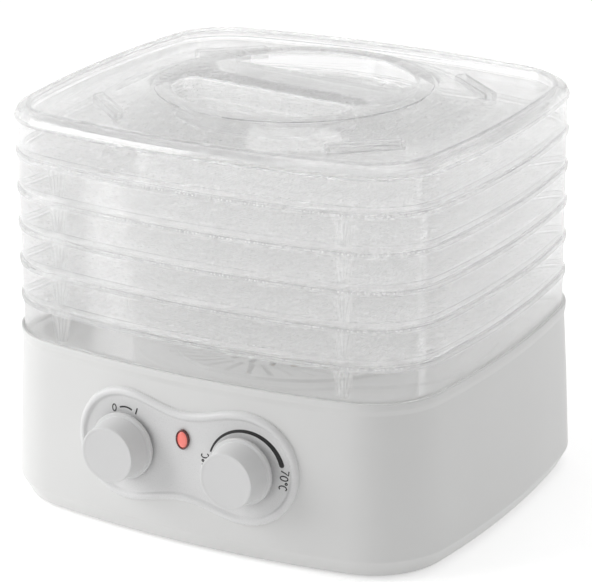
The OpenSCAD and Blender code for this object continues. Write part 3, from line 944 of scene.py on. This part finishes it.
@dataclass
class PilotLight:
    """Oval red pilot light: a domed lens in a thin dark ring."""

    z: float = 67.0
    front_y: float = -128.3
    depth: float = 8.0
    ring_thick: float = 0.85
    steps: int = 48

    def ovals(self, profile: Sequence[tuple[float, float]], rx: float, rz: float) -> list[Ring]:
        """Rings of an oval whose edge moves in along the profile.

        Args:
            profile: (how far in from the edge, y) of each ring.
            rx: Half width of the outermost ring.
            rz: Half height of the outermost ring.

        Returns:
            The rings.
        """
        return [[(x, y, z) for x, z in oval((0.0, self.z), (rx - d, rz - d), self.steps)]
                for d, y in profile]

    def build(self) -> None:
        """Builds the ring and the lens."""
        f = self.front_y
        ring = MeshMaker()
        back, thick = f + self.depth, self.ring_thick
        loop = fillet([(0, back, 0), (0, f, 0.35), (thick, f, 0.35), (thick, back, 0)], closed=True)
        ring.stack(self.ovals(loop, 4.2, 5.8), cycle=True)
        settle(ring.piece("pilot_ring", Finish.BEZEL_RED), "base", "bezel_red", "indicator_bezel")
        lens = MeshMaker()
        dome = [(0.0, back), (0.0, f + 0.5), (0.15, f + 0.25), (0.6, f), (1.3, f - 0.22),
                (2.2, f - 0.36), (2.9, f - 0.4)]
        lens.closed_form(self.ovals(dome, 3.25, 4.75))
        settle(lens.piece("pilot_lens", Finish.LENS_RED), "base", "lens_red", "indicator_lens")


# ---------------------------------------------------------------- trays and lid


# Edges of the clear mouldings that turn more than this stay sharp
CLEAR_SHARP_DEG = 32.0


@dataclass
class ClearTray:
    """Clear stacking tray: woven-look slotted floor, bright flange, low rim, hanging wall, legs."""

    index: int
    z: float
    flange_h: float = 3.3
    rim_top: float = 6.3
    hang: float = 18.2
    floor_t: float = 2.5
    floor_inset: float = 8.0
    slot_margin: float = 9.0
    leg_x: float = 91.0
    leg_y: float = 107.5
    leg_clear: Point2 = (10.0, 7.0)
    leg_foot: float = 0.9
    # Each upright bar of a leg: its middle at the top and at the foot, its width and its depth
    leg_bars: tuple[tuple[float, float, float, float], ...] = (
        (-5.0, -1.9, 1.3, 3.0), (5.0, 1.9, 1.3, 3.0), (-1.5, -0.7, 0.7, 2.6), (1.5, 0.7, 0.7, 2.6))

    def slots(self) -> list[Loop]:
        """Slots of the floor: a checkerboard of cells, each with two slots one way or the other."""
        found: list[Loop] = []
        edge = [(x, y) for x, y, _ in PLAN.ring(self.slot_margin, 0)]
        columns, rows = (math.ceil(half / WEAVE.cell) for half in (PLAN.half_w, PLAN.half_d))
        for i in range(-columns, columns + 1):
            for j in range(-rows, rows + 1):
                cx, cy = i * WEAVE.cell, j * WEAVE.cell
                along_x = (i + j) % 2 == 0
                hx, hy = WEAVE.slot_long / 2, WEAVE.slot_wide / 2
                if not along_x:
                    hx, hy = hy, hx
                for side in (-1, 1):
                    off = side * WEAVE.slot_gap / 2
                    mx, my = (cx, cy + off) if along_x else (cx + off, cy)
                    loop = [(mx - hx, my - hy), (mx + hx, my - hy),
                            (mx + hx, my + hy), (mx - hx, my + hy)]
                    if all(inside_polygon(x, y, edge) for x, y in loop) and not self.under_leg(mx, my):
                        found.append(loop)
        return found

    def under_leg(self, x: float, y: float) -> bool:
        """Whether a slot would open under a leg."""
        return (abs(abs(x) - self.leg_x) < self.leg_clear[0]
                and abs(abs(y) - self.leg_y) < self.leg_clear[1])

    def in_slot(self, x: float, y: float, middles: set[tuple[int, int]]) -> bool:
        """Whether a point lies in one of the slots.

        Args:
            x: X of the point.
            y: Y of the point.
            middles: Middle of each slot, in whole tenths of a millimetre.

        Returns:
            True where the floor is open.
        """
        i, j = round(x / WEAVE.cell), round(y / WEAVE.cell)
        u, v = x - i * WEAVE.cell, y - j * WEAVE.cell
        if (i + j) % 2:
            u, v = v, u
        off = WEAVE.slot_gap / 2 if v > 0 else -WEAVE.slot_gap / 2
        if abs(u) > WEAVE.slot_long / 2 or abs(v - off) > WEAVE.slot_wide / 2:
            return False
        mx, my = i * WEAVE.cell, j * WEAVE.cell
        mx, my = (mx + off, my) if (i + j) % 2 else (mx, my + off)
        return (round(mx * 10), round(my * 10)) in middles

    def build(self) -> None:
        """Builds the tray's flange, rim, wall and legs, and then its lattice."""
        z, fi = self.z, self.floor_inset
        section = fillet([
            (fi, z + self.floor_t, 0), (5.0, z + self.floor_t, 0.4), (5.0, z + self.rim_top, 0.4),
            (3.5, z + self.rim_top, 0.4),
            (3.5, z + self.flange_h, 0.3), (0.0, z + self.flange_h, 0.9), (0.0, z, 0.7),
            (1.2, z, 0.2), (1.3, z - self.hang, 0.5), (3.2, z - self.hang, 0.5),
            (3.2, z, 0.5), (fi, z, 0),
        ], closed=True, steps=4)
        walls = MeshMaker()
        walls.stack([PLAN.ring(i, h) for i, h in section], cycle=True)
        self.add_legs(walls)
        settle(walls.piece(f"clear_tray_{self.index}", Finish.CLEAR, sharp_deg=CLEAR_SHARP_DEG),
               f"tray_{self.index}_body", "clear_plastic", f"tray_{self.index}")
        self.build_lattice()

    def build_lattice(self) -> None:
        """Builds the slotted floor inside the flange."""
        z, fi = self.z, self.floor_inset
        maker = MeshMaker()
        rim = maker.stack([PLAN.ring(fi, z + self.floor_t), PLAN.ring(fi, z)])
        slots = self.slots()
        middles = {(round(sum(p[0] for p in slot) / 4 * 10), round(sum(p[1] for p in slot) / 4 * 10))
                   for slot in slots}
        tops = [maker.ring((x, y, z + self.floor_t) for x, y in slot) for slot in slots]
        lows = [maker.ring((x, y, z) for x, y in slot) for slot in slots]
        for top, low in zip(tops, lows):
            maker.strip(top, low)

        def hollow(x: float, y: float) -> bool:
            """Whether the point is open floor."""
            return self.in_slot(x, y, middles)

        maker.sheet(rim[0], tops, hollow)
        maker.sheet(rim[-1], lows, hollow)
        settle(maker.piece(f"clear_tray_{self.index}_lattice", Finish.LATTICE,
                           sharp_deg=CLEAR_SHARP_DEG),
               f"tray_{self.index}_body", "clear_plastic", f"tray_{self.index}_floor")

    def add_legs(self, maker: MeshMaker) -> None:
        """Adds the four tapered legs, each of four upright bars: a bead at both edges and two ribs
        between them.
        """
        # The top reaches a little into the flange, so that no gap shows
        top, low = self.z - 0.02, self.z - self.hang + self.leg_foot
        for sx, sy in QUARTERS:
            cx, cy = sx * self.leg_x, sy * self.leg_y
            for top_x, low_x, width, deep in self.leg_bars:
                maker.closed_form([
                    [(cx + mid - width / 2, cy - deep / 2, height),
                     (cx + mid + width / 2, cy - deep / 2, height),
                     (cx + mid + width / 2, cy + deep / 2, height),
                     (cx + mid - width / 2, cy + deep / 2, height)]
                    for mid, height in ((top_x, top), (low_x, low))])


@dataclass
class ClearLid:
    """Clear lid: side wall, rolled shoulder, sunken border, domed disc, finger wells and ribs."""

    z: float = 228.5
    hang: float = 18.2
    border_top: float = 2.0
    cone_r: float = 109.0
    disc_r: float = 82.0
    top: float = 12.5
    well_r: float = 70.0
    well_half: float = 58.0
    grip_half: float = 20.0
    well_floor: float = -0.5
    turn_deg: float = -6.0
    rib_at: Point2 = (82.0, 67.0)
    rib_turn_deg: float = 40.0
    rib_corner: float = 1.6
    thick: float = 2.0
    well_corner: float = 9.0

    def well_loop(self, side: int) -> Loop:
        """Plan of one finger well, anticlockwise, with rounded corners.

        Args:
            side: -1 for the front well, 1 for the rear one.

        Returns:
            The loop in X and Y.
        """
        h, g, r = self.well_half, self.grip_half, self.well_r
        rim_y = math.sqrt(r * r - h * h)
        corners = [(-h, -g, self.well_corner), (-h, -rim_y, self.well_corner)]
        a0, a1 = math.atan2(-rim_y, -h), math.atan2(-rim_y, h)
        for k in range(1, 16):
            angle = a0 + (a1 - a0) * k / 16
            corners.append((r * math.cos(angle), r * math.sin(angle), 0))
        corners += [(h, -rim_y, self.well_corner), (h, -g, self.well_corner)]
        # The edge along the grip is split so that its rounding stays at the corners
        for k in range(1, 8):
            corners.append((h - 2 * h * k / 8, -g, 0))
        loop = fillet(corners, closed=True, steps=6)
        turn = math.radians(self.turn_deg + (180 if side > 0 else 0))
        return [(x * math.cos(turn) - y * math.sin(turn), x * math.sin(turn) + y * math.cos(turn))
                for x, y in loop]

    def centre(self, maker: MeshMaker, edge: list[bmesh.types.BMVert], rings: Sequence[Point2],
               wells: Sequence[tuple[Loop, Sequence[Point2]]]) -> None:
        """Adds one skin of the middle: rings in from the border, the disc and its wells.

        Args:
            maker: Mesh that takes the skin.
            edge: Inner edge of the border.
            rings: (radius, z) of each ring on the way in.
            wells: Plan loop of each well with its (move, z) steps down to the floor.
        """
        before = edge
        for radius, height in rings:
            ring = maker.ring(PLAN.circle(radius, height))
            maker.strip(before, ring)
            before = ring
        mouths = []
        plans = []
        for loop, steps in wells:
            made = maker.stack([[(x, y, h) for x, y in grown(loop, by)] for by, h in steps])
            mouths.append(made[0])
            plans.append(grown(loop, steps[0][0]))
            maker.cap(made[-1])
        maker.sheet(before, mouths, lambda x, y: any(inside_polygon(x, y, plan) for plan in plans))

    def build(self) -> None:
        """Builds the lid as one closed moulding, with its four corner ribs."""
        z, t = self.z, self.thick
        outer = fillet([
            (1.3, z - self.hang, 0.4), (1.2, z - 0.3, 0.2), (0.0, z, 0.5), (0.0, z + 1.6, 1.6),
            (1.9, z + 5.2, 3.0), (7.3, z + 8.0, 2.6), (9.9, z + 8.0, 0.8), (10.6, z + 4.0, 1.5),
            (11.2, z + self.border_top, 0.8), (14.0, z + self.border_top, 0),
        ], closed=False, steps=5)
        inner = fillet([
            (3.2, z - self.hang, 0.4), (3.2, z - 0.4, 0.6), (2.2, z + 1.2, 0.8), (3.9, z + 3.9, 2.0),
            (8.0, z + 6.0, 0.6), (8.6, z + 3.0, 1.0), (9.2, z, 0.6), (14.0, z, 0),
        ], closed=False, steps=4)
        maker = MeshMaker()
        outside = maker.stack([PLAN.ring(i, h) for i, h in outer])
        inside = maker.stack([PLAN.ring(i, h) for i, h in inner])
        maker.strip(outside[0], inside[0])
        top, low = z + self.top, z + self.well_floor
        cone, disc, border = self.cone_r, self.disc_r, z + self.border_top
        upper = [(cone + 1.2, border), (cone - 1.5, border + 0.25), (cone - 5, border + 1.4),
                 (96.0, z + 6.2), (disc + 4, z + 10.1), (disc + 1.2, z + 11.0), (disc, z + 11.15),
                 (disc - 1.2, z + 11.2), (disc - 1.8, z + 11.5), (disc - 2.2, top - 0.2),
                 (disc - 3.0, top)]
        lower = [(cone + 1.2, z), (cone - 2.5, z + 0.2), (cone - 6, z + 1.3), (95.0, z + 4.2),
                 (disc + 3, z + 8.1), (disc - 0.4, z + 9.2), (disc - 3.0, z + 9.6),
                 (disc - 4.6, top - t)]
        loops = [self.well_loop(-1), self.well_loop(1)]
        down = [(1.1, top), (0.55, top - 0.15), (0.15, top - 0.5), (0.0, top - 1.1), (-0.5, low + 1.8),
                (-0.9, low + 0.7), (-1.7, low + 0.15), (-2.6, low)]
        under = [(2.2, top - t), (2.0, top - t - 0.6), (1.5, low + 1.2), (1.1, low - 0.6),
                 (0.2, low - 1.6), (-1.2, low - t)]
        self.centre(maker, outside[-1], upper, [(loop, down) for loop in loops])
        self.centre(maker, inside[-1], lower, [(loop, under) for loop in loops])
        self.add_ribs(maker)
        settle(maker.piece("clear_lid", Finish.CLEAR, sharp_deg=CLEAR_SHARP_DEG), "lid_body",
               "clear_plastic", "lid")

    def add_ribs(self, maker: MeshMaker) -> None:
        """Adds a hollow round-ended rib across each corner."""
        top, low = self.z + 6.0, self.z
        across = ((22.0, 4.0, low + 0.3), (22.0, 4.0, top - 0.6), (21.4, 3.4, top),
                  (20.6, 2.6, top), (20.1, 2.1, top - 0.5), (20.0, 2.0, low + 2.1))
        for sx, sy in QUARTERS:
            turn = math.radians(-sx * sy * self.rib_turn_deg)
            rings = []
            for half_long, half_wide, height in across:
                plan = fillet([(half_long, half_wide, self.rib_corner),
                               (-half_long, half_wide, self.rib_corner),
                               (-half_long, -half_wide, self.rib_corner),
                               (half_long, -half_wide, self.rib_corner)], closed=True)
                rings.append([
                    (sx * self.rib_at[0] + x * math.cos(turn) - y * math.sin(turn),
                     sy * self.rib_at[1] + x * math.sin(turn) + y * math.cos(turn), height)
                    for x, y in plan])
            maker.closed_form(rings)


# ---------------------------------------------------------------- studio


@dataclass(frozen=True)
class SoftBox:
    """One soft box that faces the machine: place and size in metres, power in watts."""

    name: str
    place: Point3
    size: Point2
    watts: float
    aim: Point3 = (0.0, 0.0, 0.1)

    def hang(self) -> None:
        """Hangs the light."""
        data = bpy.data.lights.new(self.name, "AREA")
        data.shape = "RECTANGLE"
        data.size, data.size_y = self.size
        data.energy = self.watts
        lamp = bpy.data.objects.new(self.name, data)
        lamp.location = self.place
        ahead = Vector(self.aim) - Vector(self.place)
        lamp.rotation_euler = ahead.to_track_quat("-Z", "Y").to_euler()
        bpy.context.scene.collection.objects.link(lamp)


@dataclass
class Studio:
    """Pale floor, soft lights and the camera at the viewing angle."""

    azimuth_deg: float = 29.86
    pitch_deg: float = 19.68
    roll_deg: float = -0.43
    distance: float = 1.684
    target: Point3 = (0.0, 0.0, 0.1144)
    lens_mm: float = 175.1
    sensor_mm: float = 36.0
    floor_glow: float = 0.45
    floor_light: float = 0.12
    room_shine: float = 0.97
    room_dusk: float = 0.62
    room_light: float = 0.38
    soft_boxes: tuple[SoftBox, ...] = (
        SoftBox("left_softbox", (-1.5, -1.0, 0.9), (1.4, 1.4), 20),
        SoftBox("right_softbox", (1.6, 1.2, 0.8), (1.2, 1.2), 4),
        SoftBox("overhead", (0.0, 0.3, 2.2), (1.8, 1.8), 10),
    )

    def floor(self) -> None:
        """Lays a pale floor that fades to white."""
        bpy.ops.mesh.primitive_plane_add(size=12.0, location=(0, 0, -0.0004))
        floor = bpy.context.object
        floor.name = "studio_floor"
        material, tree = new_tree("pale_floor")
        place = add_node(tree, "TexCoord")
        cloud = add_node(tree, "TexNoise", Vector=(place, "Object"), Scale=1.5)
        tone = two_tone(tree, (cloud, "Fac"), "f6f6f6", "f2f2f2")
        shader = add_node(tree, "BsdfPrincipled", Base_Color=tone, Roughness=0.9)
        path = add_node(tree, "LightPath")
        glow = add_node(tree, "MapRange", Value=(path, "Is Diffuse Ray"), To_Min=self.floor_glow,
                        To_Max=self.floor_light)
        shine = add_node(tree, "Emission", Color=linear("ffffff"), Strength=(glow, 0))
        both = add_node(tree, "AddShader", in0=(shader, 0), in1=(shine, 0))
        add_node(tree, "OutputMaterial", Surface=(both, 0))
        floor.data.materials.append(material)

    def room(self) -> None:
        """Fills the room with soft white, a little darker higher up, and dimmer as a light."""
        world = bpy.data.worlds.new("soft_white_room")
        bpy.context.scene.world = world
        world.use_nodes = True
        tree = world.node_tree
        tree.nodes.clear()
        path = add_node(tree, "LightPath")
        place = add_node(tree, "TexCoord")
        height = add_node(tree, "SeparateXYZ", Vector=(place, "Generated"))
        wall = add_node(tree, "MapRange", Value=(height, "Z"), From_Min=0.05, From_Max=0.4,
                        To_Min=self.room_shine, To_Max=self.room_dusk)
        side = add_node(tree, "MapRange", Value=(height, "X"), From_Min=-0.9, From_Max=0.9,
                        To_Min=1.06, To_Max=0.86)
        seen = math_node(tree, "MULTIPLY", (wall, 0), (side, 0))
        level = add_node(tree, "MapRange", Value=(path, "Is Diffuse Ray"), To_Min=seen,
                         To_Max=self.room_light)
        sky = add_node(tree, "Background", Color=linear("ffffff"), Strength=(level, 0))
        add_node(tree, "OutputWorld", Surface=(sky, 0))

    def camera(self) -> None:
        """Stands the camera at its azimuth, pitch and roll, aimed at the target."""
        yaw, pitch, roll = (math.radians(a) for a in (self.azimuth_deg, self.pitch_deg, self.roll_deg))
        back = Vector((math.sin(yaw) * math.cos(pitch), -math.cos(yaw) * math.cos(pitch),
                       math.sin(pitch)))
        right = Vector((math.cos(yaw), math.sin(yaw), 0))
        up = back.cross(right)
        across = right * math.cos(roll) + up * math.sin(roll)
        upright = up * math.cos(roll) - right * math.sin(roll)
        data = bpy.data.cameras.new("camera")
        data.lens, data.sensor_width = self.lens_mm, self.sensor_mm
        data.sensor_fit = "HORIZONTAL"
        data.clip_start, data.clip_end = 0.05, 50.0
        camera = bpy.data.objects.new("camera", data)
        turn = Matrix((across, upright, back)).transposed().to_4x4()
        camera.matrix_world = Matrix.Translation(Vector(self.target) + back * self.distance) @ turn
        bpy.context.scene.collection.objects.link(camera)
        bpy.context.scene.camera = camera

    def light_paths(self) -> None:
        """Lets light through all the clear walls of the stack, and leaves out caustics."""
        scene = bpy.context.scene
        scene.view_settings.view_transform = "Standard"
        scene.cycles.max_bounces = 40
        scene.cycles.transmission_bounces = 40
        scene.cycles.transparent_max_bounces = 40
        scene.cycles.glossy_bounces = 6
        scene.cycles.diffuse_bounces = 4
        scene.cycles.caustics_reflective = False
        scene.cycles.caustics_refractive = False

    def build(self) -> None:
        """Sets up the floor, the room, the lights and the camera."""
        self.floor()
        self.room()
        for soft_box in self.soft_boxes:
            soft_box.hang()
        self.camera()
        self.light_paths()


# ---------------------------------------------------------------- assembly


@dataclass
class Dehydrator:
    """The whole machine."""

    tray_z: float = 121.0
    tray_pitch: float = 21.5

    def build(self) -> None:
        """Builds every visible piece and dresses the rest of the frame."""
        base = BaseHousing()
        base.build()
        ControlPanel(base).build()
        Dial("on_off_dial", "switch_knob", "switch_dial", -38.5).build()
        Dial("heat_dial", "thermostat_knob", "thermostat_dial", 38.5).build()
        PilotLight().build()
        for place, index in enumerate((5, 4, 3, 2, 1)):
            ClearTray(index, self.tray_z + place * self.tray_pitch).build()
        ClearLid().build()
        self.dress_frame()

    def dress_frame(self) -> None:
        """Gives every piece of the frame the finish of its slot."""
        for part in frame["record"]["subparts"]:
            node = frame["nodes"].get(part["node"])
            if node is not None:
                SLOT_FINISH[part["material_slot"]].on(node)
                LOG.info("%s dressed as %s", part["node"], part["material_slot"])


def main() -> None:
    """Builds the machine and the studio."""
    logging.basicConfig(level=logging.INFO, format="%(name)s: %(message)s")
    Studio().build()
    Dehydrator().build()


if __name__ == "__main__":
    main()
